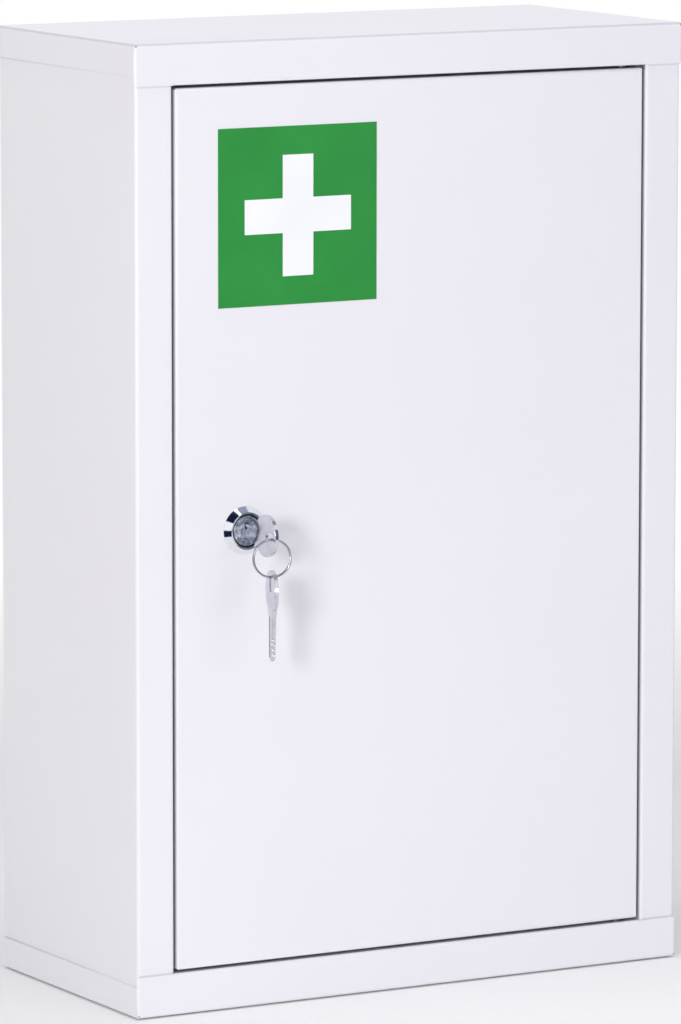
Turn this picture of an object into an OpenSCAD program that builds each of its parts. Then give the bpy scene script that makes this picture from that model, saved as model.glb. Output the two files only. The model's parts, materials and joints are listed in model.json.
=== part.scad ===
// Lockable wall cabinet for medicines. A folded sheet-steel case with pressed end
// caps holds two shelves. An inset door turns on hidden pivots at the right and is
// closed by a cam lock, with one key in the lock and a spare on a split ring.
// Origin: centre of the underside. +Z is up, +X is to the right, the door faces -Y.

/* [Case] */
// Outside width, across the end caps
case_w = 300; // [260:1:400]
// Outside depth, front rail to back panel
case_d = 140; // [120:1:220]
// Outside height
case_h = 460; // [430:1:600]
// Thickness of the folded sheet
sheet_t = 0.8; // [0.6:0.1:1.2]
// Outside radius of every fold
fold_r = 1.8; // [1.4:0.1:2.2]
// Height of the front rails above and below the door
rail_h = 20; // [17:0.5:28]
// Reach of the end caps down the sides
cap_side_h = 15; // [8:0.5:16]
// Width of the front stiles beside the door
stile_w = 20.5; // [16:0.5:28]
// Diameter of the relief holes at the front corners of the end caps
relief_d = 0.9; // [0.6:0.1:1.2]
// Depth of the turned-in edge around the door opening
return_d = 16; // [15:0.5:20]
// Reach of the door stop into the opening, on the lock side
stop_reach = 10; // [8:0.5:12]

/* [Wall mounting] */
// Diameter of the screw holes in the back
wall_hole_d = 6.5; // [4:0.1:9]
// Distance between the screw holes across the back
wall_hole_dx = 200; // [120:1:220]
// Distance between the screw holes up the back
wall_hole_dz = 360; // [200:1:370]

/* [Shelves] */
// Height of the lower shelf's top face
lower_shelf_z = 160; // [110:1:200]
// Height of the upper shelf's top face
upper_shelf_z = 300; // [260:1:340]
// Depth of a shelf from its front fold to the back panel
shelf_depth = 112; // [90:1:112]
// Height of the folded front lip of a shelf
shelf_lip_h = 12; // [8:0.5:18]
// Height of the upstand at the back of a shelf
shelf_back_h = 8; // [5:0.5:14]
// Gap between a shelf's end and the case side
shelf_play = 0.5; // [0.3:0.1:1]
// Leg of the angle brackets under a shelf
bracket_leg = 12; // [8:0.5:16]
// Length of the angle brackets
bracket_len = 90; // [40:1:96]

/* [Door] */
// Gap between the door and the stiles
door_side_gap = 1.3; // [1.2:0.1:2]
// Gap between the door and the rails
door_end_gap = 1.2; // [1.1:0.1:2]
// Depth of the door's folded edges
door_d = 13; // [11:0.5:13]
// Reach of the inner lips along the door's upright edges
door_lip = 10; // [6:0.5:14]
// Thickness of the rubber bumpers on the door stop
bumper_t = 1.9; // [1.5:0.1:1.9]
// Diameter of the rubber bumpers
bumper_d = 8; // [5:0.5:8]

/* [Hinge] */
// Distance of the pivot from the door's right edge
pivot_inset = 9.4; // [7:0.2:12]
// Distance of the pivot behind the door's face
pivot_back = 5; // [5:0.1:6]
// Diameter of the pivot pins
pin_d = 4; // [3:0.1:4.2]
// Diameter of a pin's head
pin_head_d = 8; // [6:0.5:8]
// Height of a pin's head
pin_head_h = 1.5; // [1:0.1:2.5]
// Reach of a pin into the door, past the sheet
pin_reach = 6; // [4:0.5:10]
// Wall of the nylon bushes
bush_wall = 0.9; // [0.7:0.1:1]
// Diameter of a bush's flange
bush_flange_d = 7.5; // [7:0.5:9]
// Thickness of a bush's flange
bush_flange_t = 0.6; // [0.4:0.1:1]
// Running clearance of turning parts, on the radius
turn_clear = 0.05; // [0.03:0.01:0.08]

/* [Sign] */
// Width of the green panel
sign_w = 85.4; // [60:0.2:110]
// Height of the green panel
sign_h = 84.2; // [60:0.2:110]
// Distance of the sign from the door's left edge
sign_inset = 22.6; // [10:0.2:40]
// Distance of the sign below the door's top edge
sign_drop = 20; // [10:0.5:40]
// Length of the cross's arms, tip to tip
cross_span = 57.2; // [40:0.2:58]
// Width of the cross's arms
cross_arm = 16.4; // [10:0.1:20]
// Thickness of each printed film
film_t = 0.2; // [0.1:0.05:0.4]

/* [Lock] */
// Distance of the lock from the door's left edge
lock_inset = 36.6; // [34:0.2:44]
// Height of the lock above the underside
lock_z = 229; // [215:1:240]
// Diameter of the bezel at the door's face
bezel_d = 22.9; // [20:0.1:26]
// Diameter of the bezel's rim
bezel_rim_d = 17.8; // [17.4:0.1:19]
// Height of the bezel
bezel_h = 3.5; // [3:0.1:4.5]
// Depth of the plug's face below the rim
plug_sunk = 0.9; // [0.6:0.1:1.2]
// Diameter of the recess that the plug's head turns in
seat_d = 15.9; // [15.4:0.1:16.2]
// Diameter of the plug's head
plug_head_d = 14.4; // [13:0.1:15.2]
// Thickness of the plug's head
plug_head_t = 1.5; // [1:0.1:1.7]
// Depth of the dished face of the plug's head
plug_dish = 0.25; // [0.1:0.05:0.4]
// Width of the rim around the dished face
plug_rim = 0.6; // [0.4:0.1:1]
// Diameter of the plug
plug_d = 12; // [10.5:0.1:12.4]
// Diameter of the threaded barrel
barrel_d = 16; // [15:0.1:16.5]
// Width of the barrel across its flats, which stop it turning in the door
barrel_flats = 14.2; // [13.8:0.1:15]
// Width of the nut across its flats
nut_af = 21; // [19.5:0.5:24]
// Thickness of the nut
nut_t = 4; // [3:0.5:6]
// Thickness of the spring washer under the nut
nut_washer_t = 0.8; // [0.5:0.1:1.2]
// Thickness of the cam
cam_t = 2; // [1.5:0.1:2.5]
// Width of the cam
cam_w = 16; // [14:0.5:18]
// Side of the square that drives the cam
cam_square = 7; // [6:0.1:7.5]
// Clearance between the cam and the door stop
cam_gap = 0.5; // [0.4:0.1:1]
// Turn of the key from open to locked, in degrees
lock_turn = 90; // [90:1:90]

/* [Keys] */
// Length of a key
key_len = 43; // [41:0.5:46]
// Thickness of a key
key_t = 1.9; // [1.6:0.1:2.2]
// Width of the blade at its shoulder
blade_w = 7.5; // [6.5:0.1:7.8]
// Width of the blade at its tip
blade_tip_w = 5.6; // [5.2:0.1:6.5]
// Diameter of the bow
bow_d = 20; // [18:0.5:22]
// Length of the slot in the bow
slot_len = 8; // [7:0.5:9]
// Width of the slot in the bow
slot_w = 4; // [3.6:0.1:4]
// Metal between the slot and the end of the bow
slot_wall = 2.3; // [1.8:0.1:3]
// Reach of the blade into the plug
key_insert = 14; // [12:0.5:15]
// Clearance of the blade in its keyway
key_clear = 0.15; // [0.1:0.05:0.25]
// Outside diameter of the split ring
ring_d = 18.8; // [17:0.2:24]
// Diameter of the ring's wire
wire_d = 1; // [0.8:0.1:1.2]
// Gap between a ring's wire and the edge it hangs on
ring_gap = 0.45; // [0.4:0.05:0.6]
// Turn of the ring and spare key about the upright, in degrees
ring_yaw = 16; // [0:1:25]

/* [Hidden] */

$fn = 64;
skip = 0.01;           // how far a cutter runs past the face it opens
bend_c = fold_r - sheet_t / 2;

// The case: the wrap fits inside the end caps, so its faces lie one sheet back
front_y = -case_d / 2;
back_y = case_d / 2;
wrap_w = case_w - 2 * sheet_t;
wrap_front = front_y + sheet_t;
wrap_d = back_y - wrap_front;
inner_x = wrap_w / 2 - sheet_t;
inner_back = back_y - sheet_t;
relief_in = fold_r * 0.65;  // place of a relief hole, in from both faces of a cap's corner

// The opening between the stiles and the rails
open_w = case_w - 2 * stile_w;
open_low = rail_h;
open_high = case_h - rail_h;
return_end = wrap_front + return_d;
stop_front = return_end - sheet_t;

// The door sits in the opening with its face in line with the stiles
door_w = open_w - 2 * door_side_gap;
door_h = open_high - open_low - 2 * door_end_gap;
door_left = -door_w / 2;
door_low = open_low + door_end_gap;
door_high = open_high - door_end_gap;
door_y = wrap_front;
bumper_x = -open_w / 2 + stop_reach / 2;
bumper_edge = 40;      // height of the end bumpers from the ends of the opening

// The pivots
pivot_x = door_w / 2 - pivot_inset;
pivot_y = door_y + pivot_back;
bush_hole_d = pin_d + 2 * (turn_clear + bush_wall + turn_clear);
bush_tail = 2;         // reach of a bush inside the door's edge

// The lock, along -Y from the door's face
lock_x = door_left + lock_inset;
rim_y = door_y - bezel_h;
plug_face = rim_y + plug_sunk;
head_seat = plug_face + plug_head_t;
cam_front = return_end + cam_gap;
seat_gap = 0.1;        // end play between the barrel and the cam
barrel_end = cam_front - seat_gap;
cam_back = cam_front + cam_t;
cam_len = lock_x + open_w / 2 - 2;
washer_t = 1;
washer_d = 11;
screw_head_d = 8;
screw_head_h = 2.4;
screw_d = 4;
screw_len = 8;

// The keys
blade_len = key_len - bow_d;
bow_end = plug_face + key_insert - key_len;
keyway_depth = key_insert + 1;
neck_w = 11;           // width where the blade widens into the bow
shoulder_len = 3;      // length of that widening
tip_len = 2;           // length of the pointed tip
tip_w = 2.4;           // width of the very end
bit_count = 4;         // cuts along each edge of the blade
bit_pitch = 2.4;
bit_size = 1.3;
bit_depth = 0.4;
first_bit = 3.4;
groove_w = 1.6;        // the groove milled along each side of the blade
groove_depth = 0.45;
groove_off = 1.3;

// The ring hangs in the outer end of the key's slot, its two turns side by side,
// and the spare key hangs the same way on the bottom of the ring
ring_r = (ring_d - wire_d) / 2;
turn_pitch = wire_d + 0.06;
ring_half = (turn_pitch + wire_d) / 2;
slot_sag = slot_w / 2 - sqrt(pow(slot_w / 2, 2) - pow(slot_w / 2 - ring_gap, 2));
skew_room = key_t / 2 * tan(ring_yaw);
ring_y = bow_end + slot_wall + slot_sag + ring_half + skew_room + ring_gap;
ring_top_z = lock_z - slot_w / 2 + ring_gap + wire_d / 2;
ring_z = ring_top_z - ring_r;
ring_low_z = ring_z - ring_r;
spare_top = ring_low_z + wire_d / 2 + ring_gap + slot_wall;

// Folding ---------------------------------------------------------------------

// A quarter bend that starts at the origin, heading along +X; turn is 1 or -1
module bend(turn) {
    translate([0, turn * bend_c])
        intersection() {
            difference() {
                circle(r = fold_r);
                circle(r = fold_r - sheet_t);
            }
            translate([0, turn > 0 ? -fold_r : 0])
                square(fold_r);
        }
}

// A folded strip seen on its edge: flat lengths with a quarter bend after each
module folded(flats, turns, i = 0) {
    if (flats[i] > 0)
        translate([0, -sheet_t / 2])
            square([flats[i], sheet_t]);
    if (i < len(turns))
        translate([flats[i], 0]) {
            bend(turns[i]);
            translate([bend_c, turns[i] * bend_c])
                rotate(turns[i] * 90)
                    folded(flats, turns, i + 1);
        }
}

// A rectangle with round corners, centred
module round_rect(w, h, r) {
    square([w - 2 * r, h], center = true);
    square([w, h - 2 * r], center = true);
    for (x = [-1, 1], y = [-1, 1])
        translate([x * (w / 2 - r), y * (h / 2 - r)])
            circle(r = r);
}

// A box with every edge rounded, from three crossed extrusions, centred
module soft_box(w, d, h, r) {
    intersection() {
        linear_extrude(h, center = true)
            round_rect(w, d, r);
        rotate([90, 0, 0])
            linear_extrude(d + 2, center = true)
                round_rect(w, h, r);
        rotate([90, 0, 90])
            linear_extrude(w + 2, center = true)
                round_rect(d, h, r);
    }
}

// Stands a profile drawn in Y and Z up along X, centred
module along_x(len) {
    rotate([90, 0, 90])
        linear_extrude(len, center = true)
            children();
}

// Case ------------------------------------------------------------------------

// Plan of the wrap, from the door stop round the back to the right-hand return
module wrap_plan() {
    stop_flat = stop_reach + sheet_t - fold_r;
    stile_flat = stile_w - sheet_t - 2 * fold_r;
    return_flat = return_d - 2 * fold_r;
    side_flat = wrap_d - 2 * fold_r;
    back_flat = wrap_w - 2 * fold_r;
    translate([-open_w / 2 + stop_reach, return_end - sheet_t / 2])
        rotate(180)
            folded(
                [stop_flat, return_flat, stile_flat, side_flat, back_flat, side_flat, stile_flat,
                    return_d - fold_r],
                [1, -1, -1, -1, -1, -1, -1]
            );
}

// The wrap stops below the folds of the caps; only its back reaches their flat faces
module case_wrap() {
    color("whitesmoke")
        difference() {
            union() {
                translate([0, 0, fold_r])
                    linear_extrude(case_h - 2 * fold_r)
                        wrap_plan();
                translate([0, back_y - sheet_t / 2, case_h / 2])
                    cube([wrap_w - 2 * fold_r, sheet_t, case_h - 2 * sheet_t], center = true);
            }
            for (z = [-skip, open_high])
                translate([-open_w / 2, front_y, z])
                    cube([open_w, 2 * return_d, rail_h + skip]);
            for (x = [-1, 1], z = [-1, 1])
                translate([x * wall_hole_dx / 2, back_y, case_h / 2 + z * wall_hole_dz / 2])
                    rotate([90, 0, 0])
                        cylinder(d = wall_hole_d, h = 4 * sheet_t, center = true);
        }
}

// Rail between the stiles: its face, a bend and the return that carries a pivot
module rail_fold() {
    face_flat = rail_h - 2 * fold_r;
    translate([front_y + sheet_t / 2, -fold_r])
        rotate(-90)
            folded([face_flat, return_d + sheet_t - fold_r], [1]);
}

// An end cap with its flat face up at z = 0 and its flanges down
module end_cap() {
    below = 3 * rail_h;
    behind = 3 * case_d;
    difference() {
        translate([0, front_y + behind / 2, -below / 2])
            difference() {
                soft_box(case_w, behind, below, fold_r);
                soft_box(case_w - 2 * sheet_t, behind - 2 * sheet_t, below - 2 * sheet_t,
                    fold_r - sheet_t);
            }
        translate([-case_w, back_y, -2 * below])
            cube([2 * case_w, 2 * behind, 3 * below]);
        translate([-case_w, front_y - 1, -2 * below])
            cube([2 * case_w, 2 * behind, 2 * below - rail_h]);
        translate([-case_w, front_y + sheet_t, -2 * below])
            cube([2 * case_w, 2 * behind, 2 * below - cap_side_h]);
        translate([-open_w / 2, front_y - 1, -rail_h - 1])
            cube([open_w, 1 + sheet_t + skip, rail_h + 1 - fold_r]);
        for (side = [-1, 1])
            translate([side * (case_w / 2 - relief_in), front_y, -relief_in])
                rotate([90, 0, 0])
                    cylinder(d = relief_d, h = 4 * sheet_t, center = true);
    }
    difference() {
        along_x(open_w)
            rail_fold();
        translate([pivot_x, pivot_y, -rail_h])
            cylinder(d = pin_d + 2 * turn_clear, h = 4 * sheet_t, center = true);
    }
}

module top_cap() {
    color("whitesmoke")
        translate([0, 0, case_h])
            end_cap();
}

module bottom_cap() {
    color("whitesmoke")
        mirror([0, 0, 1])
            end_cap();
}

// Shelves ---------------------------------------------------------------------

shelf_w = 2 * (inner_x - shelf_play);
shelf_back = inner_back - 0.4;
shelf_front = shelf_back - shelf_depth;

// A shelf is one sheet: a lip turned down at the front, an upstand at the back
module shelf(z) {
    hem = 6;
    translate([0, shelf_front + fold_r + hem, z - shelf_lip_h + sheet_t / 2])
        along_x(shelf_w)
            rotate(180)
                folded(
                    [hem, shelf_lip_h - 2 * fold_r, shelf_depth - 2 * fold_r, shelf_back_h - fold_r],
                    [-1, -1, 1]
                );
}

module upper_shelf() {
    color("gainsboro")
        shelf(upper_shelf_z);
}

module lower_shelf() {
    color("gainsboro")
        shelf(lower_shelf_z);
}

// Angles under the ends of both shelves, spot-welded to the case sides
module shelf_brackets() {
    leg_flat = bracket_leg - fold_r;
    color("lightgray")
        for (side = [-1, 1], z = [lower_shelf_z, upper_shelf_z])
            translate([side * inner_x, shelf_back - 10, z - sheet_t])
                mirror([side < 0 ? 0 : 1, 0, 0])
                    rotate([90, 0, 0])
                        linear_extrude(bracket_len)
                            translate([bracket_leg, -sheet_t / 2])
                                rotate(180)
                                    folded([leg_flat, leg_flat], [1]);
}

// Door ------------------------------------------------------------------------

module door_panel() {
    behind = 4 * door_d;
    lip_flat = door_lip - fold_r;
    mid_z = (door_low + door_high) / 2;
    lip_h = door_h - 2 * fold_r;
    color("ghostwhite") {
        difference() {
            translate([0, door_y + behind / 2, mid_z])
                difference() {
                    soft_box(door_w, behind, door_h, fold_r);
                    soft_box(door_w - 2 * sheet_t, behind - 2 * sheet_t, door_h - 2 * sheet_t,
                        fold_r - sheet_t);
                }
            translate([-door_w, door_y + door_d, 0])
                cube([2 * door_w, 2 * behind, case_h]);
            for (side = [-1, 1])
                translate([side * door_w / 2, door_y + door_d, mid_z])
                    cube([2 * (sheet_t + skip), 2 * fold_r, lip_h], center = true);
            on_lock(door_y)
                flatted(barrel_d + 2 * turn_clear, barrel_flats + 2 * turn_clear, 4 * sheet_t);
            for (z = [door_low, door_high])
                translate([pivot_x, pivot_y, z])
                    cylinder(d = bush_hole_d, h = 4 * sheet_t, center = true);
        }
        for (side = [0, 1])
            mirror([side, 0, 0])
                translate([door_left + sheet_t / 2, door_y + door_d - fold_r, mid_z])
                    linear_extrude(lip_h, center = true)
                        rotate(90)
                            folded([0, lip_flat], [-1]);
    }
}

module door_bumpers() {
    color("dimgray")
        for (z = [open_low + bumper_edge, open_high - bumper_edge])
            translate([bumper_x, stop_front, z])
                rotate([90, 0, 0])
                    cylinder(d = bumper_d, h = bumper_t);
}

// Hinge -----------------------------------------------------------------------

// A headed pin, head up, with z = 0 at the face that its head seats on
module hinge_pin() {
    shank = sheet_t + door_end_gap + sheet_t + pin_reach;
    translate([pivot_x, pivot_y, 0])
        rotate_extrude()
            polygon([
                [0, -shank], [pin_d / 2 - 0.4, -shank], [pin_d / 2, -shank + 0.8], [pin_d / 2, 0],
                [pin_head_d / 2, 0], [pin_head_d / 2 - 0.4, pin_head_h], [0, pin_head_h]
            ]);
}

// A flanged bush, flange up, with z = 0 at the door's edge
module hinge_bush() {
    translate([pivot_x, pivot_y, 0])
        difference() {
            union() {
                cylinder(d = bush_flange_d, h = bush_flange_t);
                translate([0, 0, -sheet_t - bush_tail])
                    cylinder(d = bush_hole_d - 2 * turn_clear, h = sheet_t + bush_tail + skip);
            }
            cylinder(d = pin_d + 2 * turn_clear, h = 4 * (sheet_t + bush_tail), center = true);
        }
}

module upper_hinge_pin() {
    color("silver")
        translate([0, 0, open_high + sheet_t])
            hinge_pin();
}

module lower_hinge_pin() {
    color("silver")
        translate([0, 0, open_low - sheet_t])
            mirror([0, 0, 1])
                hinge_pin();
}

module upper_hinge_bush() {
    color("dimgray")
        translate([0, 0, door_high])
            hinge_bush();
}

module lower_hinge_bush() {
    color("dimgray")
        translate([0, 0, door_low])
            mirror([0, 0, 1])
                hinge_bush();
}

// Sign ------------------------------------------------------------------------

// Places a flat film on the door: x and z from the sign's centre, depth layers up
module on_sign(layer) {
    translate([door_left + sign_inset + sign_w / 2, door_y - layer * film_t,
        door_high - sign_drop - sign_h / 2])
        rotate([90, 0, 0])
            linear_extrude(film_t)
                children();
}

module sign_panel() {
    color("seagreen")
        on_sign(0)
            square([sign_w, sign_h], center = true);
}

module sign_cross() {
    color("white")
        on_sign(1) {
            square([cross_span, cross_arm], center = true);
            square([cross_arm, cross_span], center = true);
        }
}

// Lock ------------------------------------------------------------------------

// Turns a part drawn about Z, with +Z pointing out of the door, onto the lock's axis
module on_lock(y) {
    translate([lock_x, y, lock_z])
        rotate([90, 0, 0])
            children();
}

// A rod about the axis with a flat along each side, centred
module flatted(d, flats, h) {
    intersection() {
        cylinder(d = d, h = h, center = true);
        cube([flats, 2 * d, 2 * h], center = true);
    }
}

module lock_housing() {
    seat_r = seat_d / 2;
    bore_r = plug_d / 2 + turn_clear;
    below = door_y - barrel_end;
    color("silver")
        on_lock(door_y)
            difference() {
                rotate_extrude()
                    polygon([
                        [bore_r, below], [barrel_d / 2, below], [barrel_d / 2, 0],
                        [bezel_d / 2, 0], [bezel_d / 2, 0.5], [bezel_rim_d / 2, bezel_h],
                        [seat_r + 0.3, bezel_h], [seat_r, bezel_h - 0.3],
                        [seat_r, door_y - head_seat], [bore_r, door_y - head_seat]
                    ]);
                for (side = [-1, 1])
                    translate([side * barrel_flats, 0, below - 1])
                        cube([barrel_flats, 2 * barrel_d, 2 - 2 * below], center = true);
            }
}

module lock_washer() {
    color("gray")
        on_lock(door_y + sheet_t + nut_washer_t)
            difference() {
                cylinder(d = nut_af - 1, h = nut_washer_t);
                cylinder(d = barrel_d + 2 * turn_clear, h = 4 * nut_washer_t, center = true);
            }
}

module lock_nut() {
    color("darkgray")
        on_lock(door_y + sheet_t + nut_washer_t + nut_t)
            difference() {
                cylinder(d = nut_af / cos(30), h = nut_t, $fn = 6);
                cylinder(d = barrel_d + 2 * turn_clear, h = 4 * nut_t, center = true);
            }
}

module lock_plug() {
    slot_t = key_t + 2 * key_clear;
    slot_h = blade_w + 2 * key_clear;
    color("slategray")
        on_lock(plug_face)
            difference() {
                union() {
                    translate([0, 0, turn_clear - plug_head_t])
                        cylinder(d = plug_head_d, h = plug_head_t - turn_clear);
                    translate([0, 0, plug_face - barrel_end])
                        cylinder(d = plug_d, h = barrel_end - plug_face);
                    translate([-cam_square / 2, -cam_square / 2, plug_face - cam_back])
                        cube([cam_square, cam_square, cam_t + seat_gap + 1]);
                }
                translate([0, 0, -plug_dish])
                    cylinder(d = plug_head_d - 2 * plug_rim, h = plug_dish + 1);
                translate([-slot_t / 2, -slot_h / 2, -keyway_depth])
                    cube([slot_t, slot_h, keyway_depth + 1]);
                translate([0, 0, plug_face - cam_back - 1])
                    cylinder(d = screw_d + 2 * turn_clear, h = 1 + screw_len);
            }
}

module lock_cam() {
    hole = cam_square + 2 * turn_clear;
    color("silver")
        on_lock(cam_back)
            linear_extrude(cam_t)
                difference() {
                    union() {
                        circle(d = cam_w);
                        translate([-cam_w / 2, cam_w / 2 - cam_len])
                            square([cam_w, cam_len - cam_w / 2]);
                        translate([0, cam_w / 2 - cam_len])
                            circle(d = cam_w);
                    }
                    square(hole, center = true);
                }
}

module cam_washer() {
    color("gray")
        on_lock(cam_back + washer_t)
            difference() {
                cylinder(d = washer_d, h = washer_t);
                cylinder(d = screw_d + 2 * turn_clear, h = 4 * washer_t, center = true);
            }
}

module cam_screw() {
    color("gray")
        on_lock(cam_back + washer_t)
            difference() {
                union() {
                    translate([0, 0, -screw_head_h])
                        cylinder(d = screw_head_d, h = screw_head_h);
                    cylinder(d = screw_d, h = washer_t + cam_t);
                }
                for (a = [0, 90])
                    rotate(a)
                        translate([0, 0, -screw_head_h])
                            cube([4.4, 0.9, 2.6], center = true);
            }
}

// Keys ------------------------------------------------------------------------

// A key flat on the page, tip at the origin, bow towards +X, thickness centred
module key_blank() {
    bow_x = key_len - bow_d / 2;
    slot_x = key_len - slot_wall - slot_len / 2;
    taper = (blade_w - blade_tip_w) / 2 / (blade_len - shoulder_len - tip_len);
    bit_lift = bit_size / sqrt(2) - bit_depth;
    difference() {
        union() {
            translate([bow_x, 0, 0])
                cylinder(d = bow_d, h = key_t, center = true);
            linear_extrude(key_t, center = true)
                polygon([
                    [0, -tip_w / 2], [0, tip_w / 2], [tip_len, blade_tip_w / 2],
                    [blade_len - shoulder_len, blade_w / 2], [blade_len, neck_w / 2],
                    [bow_x, neck_w / 2], [bow_x, -neck_w / 2], [blade_len, -neck_w / 2],
                    [blade_len - shoulder_len, -blade_w / 2], [tip_len, -blade_tip_w / 2]
                ]);
        }
        for (i = [0 : bit_count - 1], side = [-1, 1]) {
            x = first_bit + i * bit_pitch;
            edge = blade_tip_w / 2 + (x - tip_len) * taper;
            translate([x, side * (edge + bit_lift), 0])
                rotate(45)
                    cube([bit_size, bit_size, 2 * key_t], center = true);
        }
        for (side = [-1, 1])
            translate([-1, side * groove_off - groove_w / 2, side * key_t / 2 - groove_depth])
                cube([blade_len - 1, groove_w, 2 * groove_depth]);
        translate([slot_x, 0, 0])
            cube([slot_len - slot_w, slot_w, 2 * key_t], center = true);
        for (end = [-1, 1])
            translate([slot_x + end * (slot_len - slot_w) / 2, 0, 0])
                cylinder(d = slot_w, h = 2 * key_t, center = true);
    }
}

module key() {
    color("lightsteelblue")
        translate([lock_x, plug_face + key_insert, lock_z])
            rotate([90, 0, -90])
                key_blank();
}

// Centre line of the split ring: two turns side by side, crossing over at one side
ring_from = 20;
ring_to = 700;
ring_step = 12;
ring_sides = 8;
function ring_shift(a) =
    a < 340 ? -1 : a > 380 ? 1 : (a - 360) / 20;
function ring_point(a, i) =
    let (
        q = 360 * i / ring_sides,
        r = ring_r + wire_d / 2 * cos(q),
        n = ring_shift(a) * turn_pitch / 2 + wire_d / 2 * sin(q)
    )
    [r * cos(a), n, r * sin(a)];

module key_ring() {
    last = floor((ring_to - ring_from) / ring_step);
    points = [
        for (k = [0 : last], i = [0 : ring_sides - 1])
            ring_point(ring_from + k * (ring_to - ring_from) / last, i)
    ];
    around = [
        for (k = [0 : last - 1], i = [0 : ring_sides - 1])
            let (
                j = (i + 1) % ring_sides,
                a = k * ring_sides,
                b = a + ring_sides
            )
            [a + i, b + i, b + j, a + j]
    ];
    first_end = [for (i = [0 : ring_sides - 1]) i];
    last_end = [for (i = [ring_sides - 1 : -1 : 0]) last * ring_sides + i];
    color("silver")
        translate([lock_x, ring_y, ring_z])
            rotate(-ring_yaw)
                polyhedron(points, concat([first_end], around, [last_end]), convexity = 4);
}

module spare_key() {
    color("lightsteelblue")
        translate([lock_x, ring_y, spare_top - key_len])
            rotate(-ring_yaw)
                rotate([0, -90, 0])
                    key_blank();
}

case_wrap();
top_cap();
bottom_cap();
shelf_brackets();
upper_shelf();
lower_shelf();
door_panel();
door_bumpers();
upper_hinge_pin();
lower_hinge_pin();
upper_hinge_bush();
lower_hinge_bush();
sign_panel();
sign_cross();
lock_housing();
lock_washer();
lock_nut();
lock_plug();
lock_cam();
cam_washer();
cam_screw();
key();
key_ring();
spare_key();
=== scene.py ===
import json
import math

import bmesh
import bpy
from mathutils import Matrix, Vector


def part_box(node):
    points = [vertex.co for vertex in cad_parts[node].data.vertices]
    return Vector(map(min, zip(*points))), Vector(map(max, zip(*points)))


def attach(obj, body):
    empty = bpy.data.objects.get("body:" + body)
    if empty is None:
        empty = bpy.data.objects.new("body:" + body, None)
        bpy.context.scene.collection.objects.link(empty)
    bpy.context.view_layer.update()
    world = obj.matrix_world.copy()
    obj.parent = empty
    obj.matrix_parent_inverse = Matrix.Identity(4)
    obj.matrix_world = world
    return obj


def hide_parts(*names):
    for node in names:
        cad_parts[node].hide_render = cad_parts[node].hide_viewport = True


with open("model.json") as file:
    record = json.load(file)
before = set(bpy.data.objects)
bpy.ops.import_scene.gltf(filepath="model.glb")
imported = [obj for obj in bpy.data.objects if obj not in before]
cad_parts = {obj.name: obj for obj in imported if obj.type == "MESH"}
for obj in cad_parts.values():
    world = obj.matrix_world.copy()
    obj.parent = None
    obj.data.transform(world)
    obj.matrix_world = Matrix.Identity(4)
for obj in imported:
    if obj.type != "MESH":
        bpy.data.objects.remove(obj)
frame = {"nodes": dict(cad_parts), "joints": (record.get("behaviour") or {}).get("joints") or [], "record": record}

mm = 0.001
scene = bpy.context.scene
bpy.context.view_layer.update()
print("frame loaded:", len(frame["nodes"]), "nodes")


def corners(node):  # the low and high corners of a CAD node, in mm
    return [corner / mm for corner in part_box(node)]


bodyOf = {node: body for body, nodes in frame["record"]["behaviour"]["bodies"].items() for node in nodes}
jointOf = {joint["name"]: joint for joint in frame["joints"]}
wrapLow, wrapHigh = corners("case_wrap")
capLow, capHigh = corners("top_cap")
baseLow, baseHigh = corners("bottom_cap")
doorLow, doorHigh = corners("door_panel")
housingLow = corners("lock_housing")[0]
bracketLow, bracketHigh = corners("shelf_brackets")
lockAxis = Vector(jointOf["lock_turn"]["pos_m"]) / mm  # a point of it, on the door's face


class Value:  # a number that varies; sums on it add Math nodes
    def __init__(self, graph, socket):
        self.graph = graph
        self.socket = socket

    def __add__(self, other):
        return self.graph.math("ADD", self, other)

    def __sub__(self, other):
        return self.graph.math("SUBTRACT", self, other)

    def __rsub__(self, other):
        return self.graph.math("SUBTRACT", other, self)

    def __mul__(self, other):
        return self.graph.math("MULTIPLY", self, other)

    def __truediv__(self, other):
        return self.graph.math("DIVIDE", self, other)

    __radd__ = __add__
    __rmul__ = __mul__


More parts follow.
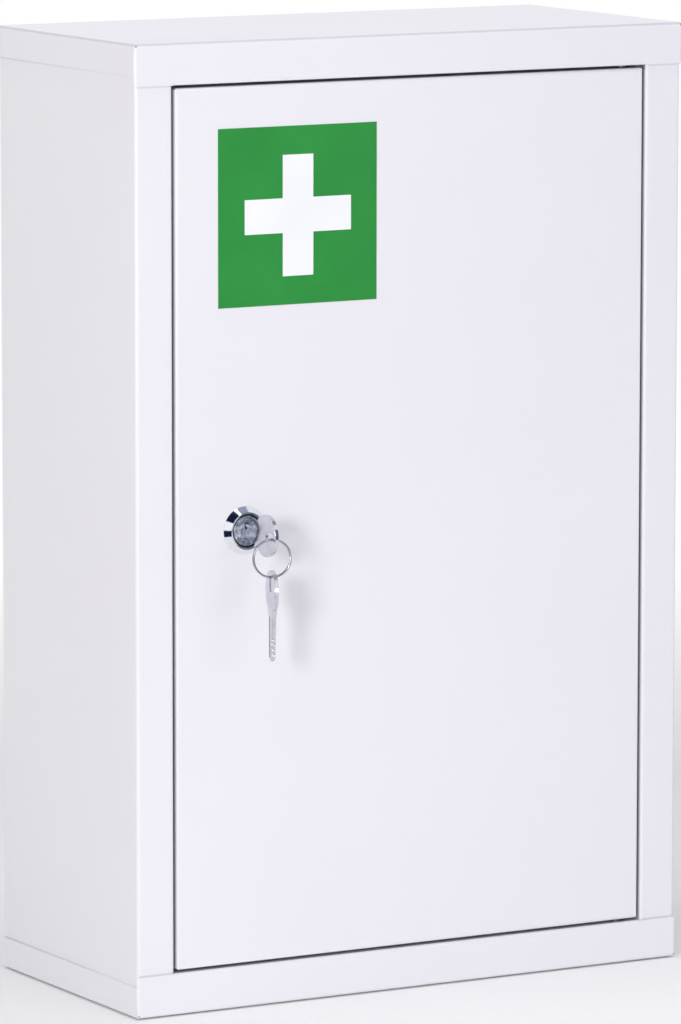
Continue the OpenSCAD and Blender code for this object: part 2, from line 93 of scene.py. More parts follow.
class Graph:  # adds nodes to a material, the world or a Geometry Nodes tree
    def __init__(self, tree):
        self.tree = tree

    def feed(self, socket, value):
        if isinstance(value, Value):
            value = value.socket
        if isinstance(value, bpy.types.NodeSocket):
            self.tree.links.new(value, socket)
        else:
            socket.default_value = value

    def node(self, kind, settings=None, inputs=None):
        made = self.tree.nodes.new(kind)
        for name, value in (settings or {}).items():
            setattr(made, name, value)
        for name, value in (inputs or {}).items():
            self.feed(made.inputs[name], value)
        return made

    def math(self, operation, *values):
        made = self.node("ShaderNodeMath", {"operation": operation}, dict(enumerate(values)))
        return Value(self, made.outputs[0])

    def spread(self, value, low, high, outLow, outHigh):  # a clamped map from one range to another
        sizes = {"From Min": low, "From Max": high, "To Min": outLow, "To Max": outHigh}
        made = self.node("ShaderNodeMapRange", {"clamp": True}, {"Value": value, **sizes})
        return Value(self, made.outputs[0])

    def rise(self, value, start, soft):  # 0 up to the start, and 1 past a soft edge
        return self.spread(value, start, start + soft, 0.0, 1.0)

    def fall(self, value, start, soft):  # 1 up to the start, and 0 past a soft edge
        return self.spread(value, start, start + soft, 1.0, 0.0)

    def band(self, value, centre, half, soft):  # 1 near a centre line, 0 away from it
        return self.fall(self.math("ABSOLUTE", value - centre), half, soft)

    def either(self, *masks):
        most = masks[0]
        for mask in masks[1:]:
            most = self.math("MAXIMUM", most, mask)
        return most

    def between(self, share, first, second):  # a colour between two, on the Mix node's colour sockets
        made = self.node("ShaderNodeMix", {"data_type": "RGBA"}, {0: share, 6: first, 7: second})
        return made.outputs[2]


def srgb(red, green, blue):  # a colour as a paint card gives it, 0 to 255
    def linear(level):
        level = level / 255
        return level / 12.92 if level <= 0.04045 else ((level + 0.055) / 1.055) ** 2.4
    return (linear(red), linear(green), linear(blue), 1.0)


class Finish(Graph):  # a material, with its patterns on Object coordinates in metres
    def __init__(self, name, **constants):
        self.material = bpy.data.materials.new(name)
        self.material.use_nodes = True
        super().__init__(self.material.node_tree)
        self.shader = self.tree.nodes["Principled BSDF"]
        for socket, value in constants.items():
            self.shader.inputs[socket].default_value = value
        self.place = self.node("ShaderNodeTexCoord").outputs["Object"]

    def axes(self):  # the place along X, Y and Z, in mm
        parts = self.node("ShaderNodeSeparateXYZ", None, {"Vector": self.place}).outputs
        return [Value(self, part) * (1 / mm) for part in parts]

    def stretched(self, scale):  # the same place, with patterns drawn out along an axis
        return self.node("ShaderNodeMapping", None, {"Vector": self.place, "Scale": scale}).outputs[0]

    def noise(self, size, detail, place=None, rough=0.5):  # a feature's width in mm, and its octaves
        inputs = {"Vector": place or self.place, "Scale": 1 / (size * mm), "Detail": detail,
                  "Roughness": rough}
        return Value(self, self.node("ShaderNodeTexNoise", None, inputs).outputs[0])

    def cells(self, size):  # distance to the nearest of scattered points
        inputs = {"Vector": self.place, "Scale": 1 / (size * mm)}
        return Value(self, self.node("ShaderNodeTexVoronoi", None, inputs).outputs["Distance"])

    def mottled(self, pattern, contrast, tint, shade):  # two tones that drift into each other
        return self.between(self.rise(pattern, 0.5 - contrast, 2 * contrast), tint, shade)

    def colour(self, socket):
        self.feed(self.shader.inputs["Base Color"], socket)

    def roughness(self, value):
        self.feed(self.shader.inputs["Roughness"], value)

    def metallic(self, value):
        self.feed(self.shader.inputs["Metallic"], value)

    def relief(self, height, depth):  # depth in mm for a height of 1
        bump = self.node("ShaderNodeBump", None, {"Height": height, "Distance": depth * mm})
        self.feed(self.shader.inputs["Normal"], bump.outputs[0])


# Painted shade, in mm: darker tones of the paint in the slot round the door, at the seams and on the top folds
paintedShade = {
    # painted shade in the slot round the door, darkest above it; its depth counts from the door's face
    "slotShade": srgb(184, 185, 196), "topTone": srgb(142, 143, 156), "sideGap": 1.3,
    "slotFrom": 0.6, "fromSoft": 0.7, "slotTo": 5.2, "toSoft": 3.0,
    "slotHalf": 1.5, "slotSoft": 0.2, "pastCorner": 1.0,
    # painted shade at the caps' seams, on the stiles and, stronger towards the back, on the sides
    "seamShade": srgb(196, 195, 206), "seamShift": 0.3, "seamHalf": 0.15, "seamSoft": 0.45,
    "capSide": 15.0, "sideIn": 0.7, "sideSoft": 0.5,
    "sideFrom": -60.0, "sideTo": 50.0, "sideLeast": 0.1, "sideMost": 0.55,
    # painted shade on the folds along the top
    "foldShade": srgb(184, 183, 194), "foldWidth": 1.4, "foldEdge": 0.35,
}


# paints shade into the paint's colour: in the slot round the door, at the seams and along the top folds
def paintShade(made, coat, thin):
    x, y, z = made.axes()
    across = made.math("ABSOLUTE", x)
    face = wrapLow.y
    openSide, openLow, openHigh = doorHigh.x + thin["sideGap"], baseHigh.z, capLow.z
    past, half, soft = thin["pastCorner"], thin["slotHalf"], thin["slotSoft"]

    # where the slot's painted shade goes: its sides, bottom and top, a little past its corners, and how deep in it
    # they show
    tall = made.band(z, (openLow + openHigh) / 2, (openHigh - openLow) / 2 + past, past)
    wide = made.fall(across, openSide + past, past)
    besideDoor = made.band(across, (doorHigh.x + openSide) / 2, half, soft) * tall
    underDoor = made.band(z, (openLow + doorLow.z) / 2, half, soft) * wide
    overDoor = made.band(z, (openHigh + doorHigh.z) / 2, half, soft) * wide
    inSlot = made.rise(y, face + thin["slotFrom"], thin["fromSoft"])
    inSlot = inSlot * made.fall(y, face + thin["slotTo"], thin["toSoft"])

    # the height of each seam's painted shade, with the face that shows it
    shift = thin["seamShift"]
    onFront = made.fall(y, face - shift, 2 * shift)
    onSide = made.rise(across, wrapHigh.x - thin["sideIn"], thin["sideSoft"])
    onSide = onSide * made.spread(y, thin["sideFrom"], thin["sideTo"], thin["sideLeast"], thin["sideMost"])
    seams = [(openLow + shift, onFront), (openHigh - shift, onFront),
             (baseLow.z + thin["capSide"] + shift, onSide), (capHigh.z - thin["capSide"] - shift, onSide)]
    seam = made.either(*(made.band(z, at, thin["seamHalf"], thin["seamSoft"]) * side for at, side in seams))

    # the strip of painted shade along the top, at the front and at the sides
    fold, edge = thin["foldWidth"], thin["foldEdge"]
    high = made.rise(z, capHigh.z - fold, fold - edge)
    outer = made.either(made.fall(y, capLow.y + edge, fold - edge),
                        made.rise(across, capHigh.x - fold, fold - edge))

    # painted shade along the seams
    coat = made.between(seam, coat, thin["seamShade"])
    # painted shade on the top folds
    coat = made.between(high * outer, coat, thin["foldShade"])
    # painted shade in the slot beside and under the door, and darker over it
    coat = made.between(made.either(besideDoor, underDoor) * inSlot, coat, thin["slotShade"])
    return made.between(overDoor * inSlot, coat, thin["topTone"])


# Powder paint: slow drifts of tone, nibs of dust caught in the coat, and orange peel
powder = {
    "driftSize": 160, "driftFrom": 0.35, "driftSoft": 0.3, "driftShare": 0.6,
    "nibSize": 5.5, "nibReach": 0.045, "nibShare": 0.4,
    "hazeSize": 24, "hazeDull": 0.08, "nibDull": 0.1,
    "finePeel": 1.1, "fineShare": 0.75, "broadPeel": 3.2, "broadShare": 0.25, "nibHeight": 0.5,
    "depth": 0.012,
}


def powderCoat(name, tint, shade, dull, thin=None):
    made = Finish(name, IOR=1.5)
    nibs = made.fall(made.cells(powder["nibSize"]), 0.0, powder["nibReach"])
    drift = made.rise(made.noise(powder["driftSize"], 3), powder["driftFrom"], powder["driftSoft"])
    coat = made.between(drift * powder["driftShare"] + nibs * powder["nibShare"], tint, shade)
    # the outside paint also gets painted shade where its table gives it
    made.colour(paintShade(made, coat, thin) if thin else coat)
    haze = made.noise(powder["hazeSize"], 4)
    made.roughness(dull + haze * powder["hazeDull"] + nibs * powder["nibDull"])
    peel = made.noise(powder["finePeel"], 1.5) * powder["fineShare"]
    peel = peel + made.noise(powder["broadPeel"], 1.0) * powder["broadShare"]
    made.relief(peel + nibs * powder["nibHeight"], powder["depth"])
    return made.material


# Printed film: faint drifts of ink, and a surface that is not quite flat
film = {"inkSize": 30, "contrast": 0.15, "hazeSize": 6, "hazeDull": 0.08,
        "grain": 0.9, "grainShare": 0.6, "wave": 14, "waveShare": 0.4, "depth": 0.008}


def vinylFilm(name, tint, shade, dull):
    made = Finish(name, IOR=1.46)
    made.colour(made.mottled(made.noise(film["inkSize"], 4), film["contrast"], tint, shade))
    made.roughness(dull + made.noise(film["hazeSize"], 3) * film["hazeDull"])
    grain = made.noise(film["grain"], 2) * film["grainShare"]
    made.relief(grain + made.noise(film["wave"], 1) * film["waveShare"], film["depth"])
    return made.material


# Plated steel: fine hairlines, and slow clouds of tone
plating = {"hairRough": 0.6, "cloudSize": 7, "contrast": 0.2, "cloudWear": 0.5, "depth": 0.004}


def platedMetal(name, tint, shade, dull, grain, wear, drawn):
    made = Finish(name, Metallic=1.0)
    hair = made.noise(grain, 3, made.stretched(drawn), plating["hairRough"])
    cloud = made.noise(plating["cloudSize"], 3)
    made.colour(made.mottled(cloud, plating["contrast"], tint, shade))
    made.roughness(dull + hair * wear + cloud * wear * plating["cloudWear"])
    made.relief(hair, plating["depth"])
    return made.material


# Die-cast zinc: pitted, over broader hollows
casting = {"pitSize": 0.5, "pitRough": 0.65, "pitShare": 0.35, "pitDull": 0.14,
           "hollowSize": 1.7, "hollowShare": 0.65, "contrast": 0.1, "depth": 0.34}


def castZinc(name, tint, shade, dull):
    made = Finish(name, Metallic=1.0)
    pits = made.noise(casting["pitSize"], 4, None, casting["pitRough"])
    hollows = made.noise(casting["hollowSize"], 3)
    made.colour(made.mottled(hollows, casting["contrast"], tint, shade))
    made.roughness(dull + pits * casting["pitDull"])
    made.relief(pits * casting["pitShare"] + hollows * casting["hollowShare"], casting["depth"])
    return made.material


# The lock's plating, and the painted shade, a near-black tone, that darkens the recess round the plug
lockPlating = {"hairSize": 0.6, "hairDull": 0.05, "cloudDull": 0.02, "depth": 0.003,
               "recessShade": srgb(34, 36, 42), "shadeCover": 0.8, "shadeDull": 0.45,
               "recess": 8.02, "recessSoft": 0.08, "belowRim": 0.25, "rimSoft": 0.15,
               "beforeDoor": 0.1, "doorSoft": 0.1, "drawn": (1, 3, 1)}


def bezelChrome(name, tint, shade, dull):
    made = Finish(name)
    x, y, z = made.axes()
    aside = x - lockAxis.x
    above = z - lockAxis.z
    radius = made.math("SQRT", aside * aside + above * above)
    inside = made.fall(radius, lockPlating["recess"], lockPlating["recessSoft"])
    deep = made.rise(y, housingLow.y + lockPlating["belowRim"], lockPlating["rimSoft"])
    outside = made.fall(y, lockAxis.y - lockPlating["beforeDoor"], lockPlating["doorSoft"])
    # painted shade: dark, less metallic and duller inside the recess round the plug, from just behind the bezel's
    # rim to just before the door
    recessShade = inside * deep * outside
    hair = made.noise(
        lockPlating["hairSize"], 3, made.stretched(lockPlating["drawn"]), plating["hairRough"])
    cloud = made.noise(plating["cloudSize"], 3)
    chrome = made.mottled(cloud, plating["contrast"], tint, shade)
    made.colour(made.between(recessShade, chrome, lockPlating["recessShade"]))
    made.metallic(1 - recessShade * lockPlating["shadeCover"])
    plated = dull + hair * lockPlating["hairDull"] + cloud * lockPlating["cloudDull"]
    made.roughness(plated + recessShade * lockPlating["shadeDull"])
    made.relief(hair, lockPlating["depth"])
    return made.material


# Rubber and nylon: specks in the moulding, and a handled sheen
polymer = {"contrast": 0.15, "hazeSize": 3, "hazeDull": 0.12, "depth": 0.02}


def plainPolymer(name, tint, shade, dull, grain):
    made = Finish(name, IOR=1.5)
    speck = made.noise(grain, 3)
    made.colour(made.mottled(speck, polymer["contrast"], tint, shade))
    made.roughness(dull + made.noise(polymer["hazeSize"], 3) * polymer["hazeDull"])
    made.relief(speck, polymer["depth"])
    return made.material


# Each slot's finish, in a tint and the shade it drifts to
# the outside paint carries painted shade in the slot, at the seams and on the top folds
outside = {"tint": srgb(236, 235, 240), "shade": srgb(233, 231, 237), "dull": 0.36, "thin": paintedShade}
finishes = {
    "case_paint": powderCoat("casePaint", **outside),
    "door_paint": powderCoat("doorPaint", **outside),
    "shelf_paint": powderCoat("shelfPaint", srgb(232, 231, 240), srgb(227, 226, 236), dull=0.4),
    "bumper_rubber": plainPolymer(
        "bumperRubber", srgb(62, 62, 66), srgb(48, 48, 52), dull=0.62, grain=0.8),
    "bush_nylon": plainPolymer(
        "bushNylon", srgb(44, 44, 48), srgb(34, 34, 38), dull=0.42, grain=1.4),
    "zinc_steel": platedMetal(
        "zincSteel", srgb(190, 194, 198), srgb(168, 171, 170),
        dull=0.26, grain=0.5, wear=0.16, drawn=(1, 1, 6)),
    "sign_green": vinylFilm("signGreen", srgb(40, 149, 60), srgb(35, 144, 56), dull=0.32),
    "sign_white": vinylFilm("signWhite", srgb(247, 248, 250), srgb(243, 244, 247), dull=0.34),
    "lock_chrome": bezelChrome("lockChrome", srgb(240, 242, 247), srgb(230, 233, 241), dull=0.05),
    "plug_steel": castZinc("plugSteel", srgb(196, 203, 214), srgb(140, 148, 160), dull=0.1),
    "key_nickel": platedMetal(
        "keyNickel", srgb(219, 220, 227), srgb(196, 197, 207),
        dull=0.09, grain=0.35, wear=0.06, drawn=(1, 1, 0.1)),
    "ring_steel": platedMetal(
        "ringSteel", srgb(176, 178, 186), srgb(142, 144, 152),
        dull=0.14, grain=0.4, wear=0.12, drawn=(3, 3, 1)),
}
print("finishes made:", len(finishes))


# Lengths in mm and angles in degrees: a merged copy's faces, its broken edges and its creases
dressing = {"join": 0.002, "flat": 0.5, "breakFrom": 50, "segments": 2, "flatWeight": 100,
            "crease": 32, "keyCrease": 18, "ringCrease": 60}


def merged(node):  # a copy of a CAD node's mesh, its loose triangles joined into clean faces
    work = bmesh.new()
    work.from_mesh(frame["nodes"][node].data)
    bmesh.ops.remove_doubles(work, verts=work.verts, dist=dressing["join"] * mm)
    bmesh.ops.dissolve_limit(
        work, angle_limit=math.radians(dressing["flat"]), verts=work.verts, edges=work.edges,
        use_dissolve_boundaries=False)
    mesh = bpy.data.meshes.new(node)
    work.to_mesh(mesh)
    work.free()
    return mesh


def plainMesh(made):  # the mesh that an object's modifiers give it
    mesh = bpy.data.meshes.new_from_object(made.evaluated_get(bpy.context.evaluated_depsgraph_get()))
    made.modifiers.clear()
    return mesh


def breakEdges(made, width):
    bevel = made.modifiers.new("edge", "BEVEL")
    bevel.width = width * mm
    bevel.segments = dressing["segments"]
    bevel.limit_method = "ANGLE"
    bevel.angle_limit = math.radians(dressing["breakFrom"])
    flat = made.modifiers.new("flat", "WEIGHTED_NORMAL")  # broad faces stay flat beside their folds
    flat.mode = "FACE_AREA"
    flat.weight = dressing["flatWeight"]
    flat.keep_sharp = True
    raw = made.data
    made.data = plainMesh(made)
    bpy.data.meshes.remove(raw)
    made.data.name = made.name


def settle(name, mesh, body, slot, nodes, edge=0.0, crease=dressing["crease"], extra=None):
    # makes the object, at the origin, that rides on its body and stands for its CAD nodes
    made = bpy.data.objects.new(name, mesh)
    scene.collection.objects.link(made)
    if not mesh.materials:
        mesh.materials.append(finishes[slot])
    mesh.shade_smooth()
    mesh.set_sharp_from_angle(angle=math.radians(crease))
    if edge:
        breakEdges(made, edge)
    if extra:
        joined = bmesh.new()
        joined.from_mesh(made.data)
        joined.from_mesh(extra)
        joined.to_mesh(made.data)
        joined.free()
    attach(made, body)
    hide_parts(*nodes)


def camel(node):  # lock_nut becomes lockNut
    first, *rest = node.split("_")
    return first + "".join(word.capitalize() for word in rest)


def growTree(name, inputs):  # a Geometry Nodes tree with named number inputs
    tree = bpy.data.node_groups.new(name, "GeometryNodeTree")
    tree.interface.new_socket("Geometry", in_out="OUTPUT", socket_type="NodeSocketGeometry")
    for socket, value in inputs.items():
        kind = "NodeSocketInt" if isinstance(value, int) else "NodeSocketFloat"
        tree.interface.new_socket(socket, in_out="INPUT", socket_type=kind)
    graph = Graph(tree)
    source = graph.node("NodeGroupInput")
    values = {socket: Value(graph, source.outputs[socket]) for socket in inputs}
    return graph, values


def closeTree(graph, geometry, slot):
    real = graph.node("GeometryNodeRealizeInstances", None, {"Geometry": geometry}).outputs[0]
    painted = graph.node("GeometryNodeSetMaterial", None, {"Geometry": real, "Material": finishes[slot]})
    end = graph.node("NodeGroupOutput")
    graph.feed(end.inputs["Geometry"], painted.outputs[0])


def grow(graph, sizes):  # runs a tree on an empty mesh and keeps the plain result
    seed = bpy.data.objects.new("seed", bpy.data.meshes.new("seed"))
    scene.collection.objects.link(seed)
    modifier = seed.modifiers.new("grow", "NODES")
    modifier.node_group = graph.tree
    for item in graph.tree.interface.items_tree:
        if item.in_out == "INPUT":
            modifier[item.identifier] = sizes[item.name]
    result = plainMesh(seed)
    bpy.data.objects.remove(seed)
    return result


def track(graph, points):  # a line cut into points, and how far along it each point lies
    line = graph.node("GeometryNodeCurvePrimitiveLine").outputs["Curve"]
    cut = graph.node("GeometryNodeResampleCurve", None, {"Curve": line, "Count": points}).outputs[0]
    return cut, Value(graph, graph.node("GeometryNodeSplineParameter").outputs["Factor"])


def wind(graph, line, radius, turn, shift):  # the line's points, set round and along the Y axis
    parts = {"X": radius * graph.math("COSINE", turn), "Y": shift, "Z": radius * graph.math("SINE", turn)}
    place = graph.node("ShaderNodeCombineXYZ", None, parts).outputs[0]
    return graph.node("GeometryNodeSetPosition", None, {"Geometry": line, "Position": place}).outputs[0]


def tube(graph, path, facets, radius):
    circle = {"Resolution": facets, "Radius": radius}
    profile = graph.node("GeometryNodeCurvePrimitiveCircle", None, circle).outputs["Curve"]
    ends = {"Curve": path, "Profile Curve": profile, "Fill Caps": True}
    return graph.node("GeometryNodeCurveToMesh", None, ends).outputs[0]


# Thread of the lock's barrel: a ridge wound along it, which sinks into the flats
barrelThread = {"Crest": 8.0, "Height": 0.45, "Pitch": 1.0, "Length": 12.8, "Flat": 7.1, "Points": 512,
                "Facets": 4}
# the thread's start behind the door's face, and the barrel's radius under it
threadPlace = {"start": 3.2, "core": 7.52, "inmost": 7.05, "slack": 0.05, "flatSlack": 0.02}
leastTilt = 0.05  # keeps the way to a flat finite where the ridge turns past it


def threadTree():
    graph, sizes = growTree("barrelThread", barrelThread)
    line, share = track(graph, sizes["Points"])
    along = share * sizes["Length"]
    turn = along / sizes["Pitch"] * math.tau
    tilt = graph.math("MAXIMUM", graph.math("ABSOLUTE", graph.math("COSINE", turn)), leastTilt)
    toFlat = (sizes["Flat"] - sizes["Height"]) / tilt
    radius = graph.math("MINIMUM", sizes["Crest"] - sizes["Height"], toFlat) * mm
    path = wind(graph, line, radius, turn, along * mm)
    closeTree(graph, tube(graph, path, sizes["Facets"], sizes["Height"] * mm), "lock_chrome")
    return graph


def slimBarrel(mesh):  # room for the thread on a copy of the housing
    core, slack = threadPlace["core"], threadPlace["slack"]
    for vertex in mesh.vertices:
        x, y, z = vertex.co / mm
        aside, above = x - lockAxis.x, z - lockAxis.z
        radius = math.hypot(aside, above)
        onBarrel = threadPlace["inmost"] < radius < barrelThread["Crest"] + slack
        if y < lockAxis.y - slack or not onBarrel:
            continue
        if abs(aside) > barrelThread["Flat"] - threadPlace["flatSlack"]:
            above = math.copysign(min(abs(above), math.sqrt(core ** 2 - aside ** 2)), above)
        else:
            aside, above = aside * core / radius, above * core / radius
        vertex.co.x, vertex.co.z = (lockAxis.x + aside) * mm, (lockAxis.z + above) * mm


# Spot welds that hold the shelf brackets to the case, in rows along each bracket
bracket = {"leg": 12.0, "sheet": 0.8, "weldRise": 5.8}  # the rise is from its lower edge
spotWelds = {"Count": 3, "Spacing": 32.0, "Diameter": 4.6, "Height": 0.14, "Facets": 24, "Middle": 14.0,
             "Side": bracketHigh.x - bracket["sheet"], "Lower": bracketLow.z + bracket["weldRise"],
             "Upper": bracketHigh.z - bracket["leg"] + bracket["weldRise"]}


def weldTree():
    graph, sizes = growTree("spotWelds", spotWelds)
    step = graph.node("ShaderNodeCombineXYZ", None, {"Y": sizes["Spacing"] * mm}).outputs[0]
    front = sizes["Middle"] - (sizes["Count"] - 1) * sizes["Spacing"] * 0.5
    disc = {"Vertices": sizes["Facets"], "Radius": sizes["Diameter"] * 0.5 * mm,
            "Depth": sizes["Height"] * 2 * mm}
    mark = graph.node("GeometryNodeMeshCylinder", None, disc).outputs["Mesh"]
    rows = graph.node("GeometryNodeJoinGeometry")
    for side in (-1, 1):
        for height in ("Lower", "Upper"):
            start = {"X": sizes["Side"] * side * mm, "Y": front * mm, "Z": sizes[height] * mm}
            first = graph.node("ShaderNodeCombineXYZ", None, start).outputs[0]
            line = {"Count": sizes["Count"], "Start Location": first, "Offset": step}
            row = graph.node("GeometryNodeMeshLine", None, line).outputs["Mesh"]
            graph.feed(rows.inputs["Geometry"], row)
    sideways = graph.node("FunctionNodeEulerToRotation", None, {"Euler": (0, math.pi / 2, 0)}).outputs[0]
    spots = {"Points": rows.outputs[0], "Instance": mark, "Rotation": sideways}
    closeTree(graph, graph.node("GeometryNodeInstanceOnPoints", None, spots).outputs[0], "case_paint")
    return graph


threadMesh = grow(threadTree(), barrelThread)
threadStart = Vector((lockAxis.x, lockAxis.y + threadPlace["start"], lockAxis.z))
threadMesh.transform(Matrix.Translation(threadStart * mm))
extras = {"lock_housing": threadMesh, "shelf_brackets": grow(weldTree(), spotWelds)}
print("thread and spot welds grown")

# Each CAD node's finish, and how far its edges are broken in mm
pieces = {
    "case_wrap": ("case_paint", 0.12), "top_cap": ("case_paint", 0.12), "bottom_cap": ("case_paint", 0.12),
    "shelf_brackets": ("case_paint", 0.12), "upper_shelf": ("shelf_paint", 0.12),
    "lower_shelf": ("shelf_paint", 0.12), "door_panel": ("door_paint", 0.12),
    "door_bumpers": ("bumper_rubber", 0.3), "upper_hinge_pin": ("zinc_steel", 0.1),
    "lower_hinge_pin": ("zinc_steel", 0.1), "upper_hinge_bush": ("bush_nylon", 0.1),
    "lower_hinge_bush": ("bush_nylon", 0.1), "sign_panel": ("sign_green", 0.04),
    "sign_cross": ("sign_white", 0.04), "lock_housing": ("lock_chrome", 0.12),
    "lock_washer": ("zinc_steel", 0.1), "lock_nut": ("zinc_steel", 0.25), "lock_plug": ("plug_steel", 0.2),
    "lock_cam": ("zinc_steel", 0.2), "cam_washer": ("zinc_steel", 0.12), "cam_screw": ("zinc_steel", 0.15),
    "key": ("key_nickel", 0.14), "spare_key": ("key_nickel", 0.14),
}
for node, (slot, edge) in pieces.items():
    mesh = merged(node)
    if node == "lock_housing":
        slimBarrel(mesh)
    crease = dressing["keyCrease" if slot == "key_nickel" else "crease"]
    settle(camel(node), mesh, bodyOf[node], slot, [node], edge, crease, extras.get(node))
print("sheet metal, door and lock dressed:", len(pieces))


# Split ring: two turns of wire side by side, crossing over at one side; its turns are in degrees
splitRing = {"Outside": 18.8, "Wire": 0.96, "Spring": 0.06, "From": 20.0, "To": 700.0, "Step": 20.0,
             "Points": 260, "Facets": 14}


def ringTree():
    graph, sizes = growTree("splitRing", splitRing)
    line, share = track(graph, sizes["Points"])
    angle = sizes["From"] + share * (sizes["To"] - sizes["From"])
    side = graph.spread(angle, 360 - sizes["Step"], 360 + sizes["Step"], -1.0, 1.0)
    radius = (sizes["Outside"] - sizes["Wire"]) * 0.5 * mm
    shift = side * (sizes["Wire"] + sizes["Spring"]) * 0.5 * mm
    path = wind(graph, line, radius, graph.math("RADIANS", angle), shift)
    closeTree(graph, tube(graph, path, sizes["Facets"], sizes["Wire"] * 0.5 * mm), "ring_steel")
    return graph


swing = jointOf["ring_swing"]["axis"]
ringLow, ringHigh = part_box("key_ring")
ringTurn = Matrix.Rotation(math.atan2(swing[1], swing[0]), 4, "Z")
ringMesh = grow(ringTree(), splitRing)
ringMesh.transform(Matrix.Translation((ringLow + ringHigh) / 2) @ ringTurn)
settle("splitRing", ringMesh, "ring", "ring_steel", ["key_ring"], crease=dressing["ringCrease"])
print("split ring wound")


# Places and widths in metres, powers in watts
studio = {
    "floorHalf": 3.0, "floorDrop": 0.0006, "shadowFrom": 0.55, "shadowTo": 1.3, "ambient": 0.38,
    "paper": (0.97, 0.97, 0.97, 1), "paperShade": (0.93, 0.93, 0.93, 1), "grain": 9.0, "grainShare": 0.3,
    "key": {"place": (-1.55, -1.385, 0.63), "aim": (-0.09, -0.07, 0.24), "width": 0.36, "height": 0.46,
            "power": 17.0, "colour": (1.0, 0.99, 0.98)},
    "fill": {"place": (0.8, -2.85, 0.9), "aim": (0, -0.07, 0.2), "width": 2.2, "height": 1.2, "power": 16.0,
             "colour": (0.96, 0.965, 1.05)},
    "top": {"place": (0.0, -0.05, 2.1), "aim": (0, -0.05, 0.46), "width": 1.6, "height": 1.2, "power": 16.5,
            "colour": (0.97, 0.97, 1.05)},
}
# Cards that only metal and gloss see: two dark ones at the left, a dim ceiling, a dark one in front
cards = {
    "lowCard": {"place": (-0.52, -0.19, 0.11), "aim": (-0.093, -0.07, 0.2), "width": 0.3, "height": 0.2,
                "tint": (0.006, 0.012, 0.04, 1)},
    "highCard": {"place": (-0.93, -0.44, 1.42), "aim": (-0.093, -0.07, 0.229), "width": 0.9, "height": 1.25,
                 "tint": (0.006, 0.012, 0.04, 1)},
    "ceilingCard": {"place": (0.35, -0.1, 1.66), "aim": (-0.093, -0.07, 0.229), "width": 1.1, "height": 1.0,
                    "tint": (0.3, 0.33, 0.42, 1)},
    "frontCard": {"place": (0.36, -0.72, 0.36), "aim": (0.0, -0.07, 0.32), "width": 0.9, "height": 0.7,
                  "tint": (0.13, 0.15, 0.2, 1)},
}


def facing(place, aim):  # the turn of a sheet or lamp that looks from its place to its aim
    return (Vector(aim) - Vector(place)).to_track_quat("-Z", "Y")


def panel(name, width, height, place, aim):  # a flat sheet that faces away from its aim
    x, y = width / 2, height / 2
    mesh = bpy.data.meshes.new(name)
    mesh.from_pydata([(-x, -y, 0), (x, -y, 0), (x, y, 0), (-x, y, 0)], [], [(0, 1, 2, 3)])
    mesh.transform(Matrix.Translation(place) @ facing(place, aim).to_matrix().to_4x4())
    made = bpy.data.objects.new(name, mesh)
    scene.collection.objects.link(made)
    return made


def emptyMaterial(name):
    material = bpy.data.materials.new(name)
    material.use_nodes = True
    material.node_tree.nodes.clear()
    return material, Graph(material.node_tree)


def softLight(name, sizes):
    lamp = bpy.data.lights.new(name, "AREA")
    lamp.shape = "RECTANGLE"
    lamp.size = sizes["width"]
    lamp.size_y = sizes["height"]
    lamp.energy = sizes["power"]
    lamp.color = sizes["colour"]
    made = bpy.data.objects.new(name, lamp)
    made.location = sizes["place"]
    made.rotation_mode = "QUATERNION"
    made.rotation_quaternion = facing(sizes["place"], sizes["aim"])
    scene.collection.objects.link(made)


def floorFinish():  # pale paper near the object, plain white to the eye farther out
    material, graph = emptyMaterial("studioFloor")
    place = graph.node("ShaderNodeTexCoord").outputs["Object"]
    length = graph.node("ShaderNodeVectorMath", {"operation": "LENGTH"}, {0: place}).outputs["Value"]
    away = graph.spread(length, studio["shadowFrom"], studio["shadowTo"], 0.0, 1.0)
    ray = graph.node("ShaderNodeLightPath")
    seen = Value(graph, ray.outputs["Is Camera Ray"]) + Value(graph, ray.outputs["Is Glossy Ray"])
    noise = graph.node("ShaderNodeTexNoise", None, {"Vector": place, "Scale": studio["grain"]})
    grain = Value(graph, noise.outputs[0]) * studio["grainShare"]
    tint = graph.between(grain, studio["paper"], studio["paperShade"])
    paper = graph.node("ShaderNodeBsdfDiffuse", None, {"Color": tint})
    white = graph.node("ShaderNodeEmission", None, {"Color": (1, 1, 1, 1), "Strength": 1.0})
    share = graph.math("MINIMUM", seen, 1.0) * away
    mix = graph.node("ShaderNodeMixShader", None, {0: share, 1: paper.outputs[0], 2: white.outputs[0]})
    graph.node("ShaderNodeOutputMaterial", None, {"Surface": mix.outputs[0]})
    return material


def cardFinish(name, tint):  # a plain glow
    material, graph = emptyMaterial(name)
    glow = graph.node("ShaderNodeEmission", None, {"Color": tint, "Strength": 1.0})
    graph.node("ShaderNodeOutputMaterial", None, {"Surface": glow.outputs[0]})
    return material


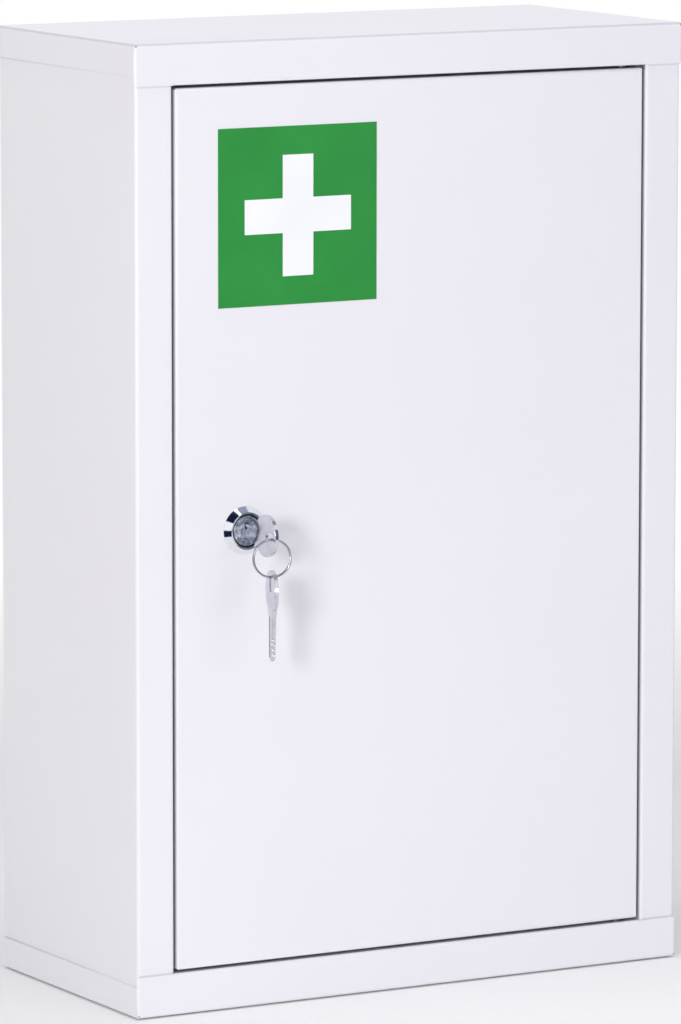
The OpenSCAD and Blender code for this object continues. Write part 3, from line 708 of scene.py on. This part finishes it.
def whiteWorld():  # white to the eye and in reflections, dimmer as a light
    scene.world = bpy.data.worlds.new("studio")
    scene.world.use_nodes = True
    graph = Graph(scene.world.node_tree)
    back = graph.tree.nodes["Background"]
    ray = graph.node("ShaderNodeLightPath")
    kinds = ("Is Camera Ray", "Is Glossy Ray", "Is Transmission Ray")
    seen = graph.either(*(Value(graph, ray.outputs[kind]) for kind in kinds))
    graph.feed(back.inputs["Strength"], seen * (1 - studio["ambient"]) + studio["ambient"])
    back.inputs["Color"].default_value = (1, 1, 1, 1)


floorWidth = 2 * studio["floorHalf"]
floorSheet = panel("studioFloor", floorWidth, floorWidth, (0, 0, -studio["floorDrop"]), (0, 0, -1))
floorSheet.data.materials.append(floorFinish())
whiteWorld()
for name in ("key", "fill", "top"):
    softLight(name + "Light", studio[name])

for name, sizes in cards.items():
    card = panel(name, sizes["width"], sizes["height"], sizes["place"], sizes["aim"])
    card.visible_camera = card.visible_diffuse = card.visible_shadow = card.visible_transmission = False
    card.data.materials.append(cardFinish(name, sizes["tint"]))

# The camera's place in metres, its focal length in mm and its angles in degrees
camera = {"place": (-1.6511, -2.9006, 0.6997), "focal": 243.884, "sensor": 36.0, "farthest": 30.0,
          "yaw": 29.646, "pitch": 8.135, "roll": 0.052}
yaw, pitch, roll = (math.radians(camera[name]) for name in ("yaw", "pitch", "roll"))
ahead = Vector((math.sin(yaw) * math.cos(pitch), math.cos(yaw) * math.cos(pitch), -math.sin(pitch)))
right = Vector((math.cos(yaw), -math.sin(yaw), 0))
up = right.cross(ahead)
across = right * math.cos(roll) + up * math.sin(roll)
upright = up * math.cos(roll) - right * math.sin(roll)
turned = Matrix((across, upright, -ahead)).transposed().to_4x4()
eye = bpy.data.objects.new("camera", bpy.data.cameras.new("camera"))
eye.data.lens = camera["focal"]
eye.data.sensor_width = camera["sensor"]
eye.data.clip_end = camera["farthest"]
eye.matrix_world = Matrix.Translation(camera["place"]) @ turned
scene.collection.objects.link(eye)
scene.camera = eye
scene.view_settings.view_transform = "Standard"
print("studio and camera placed")
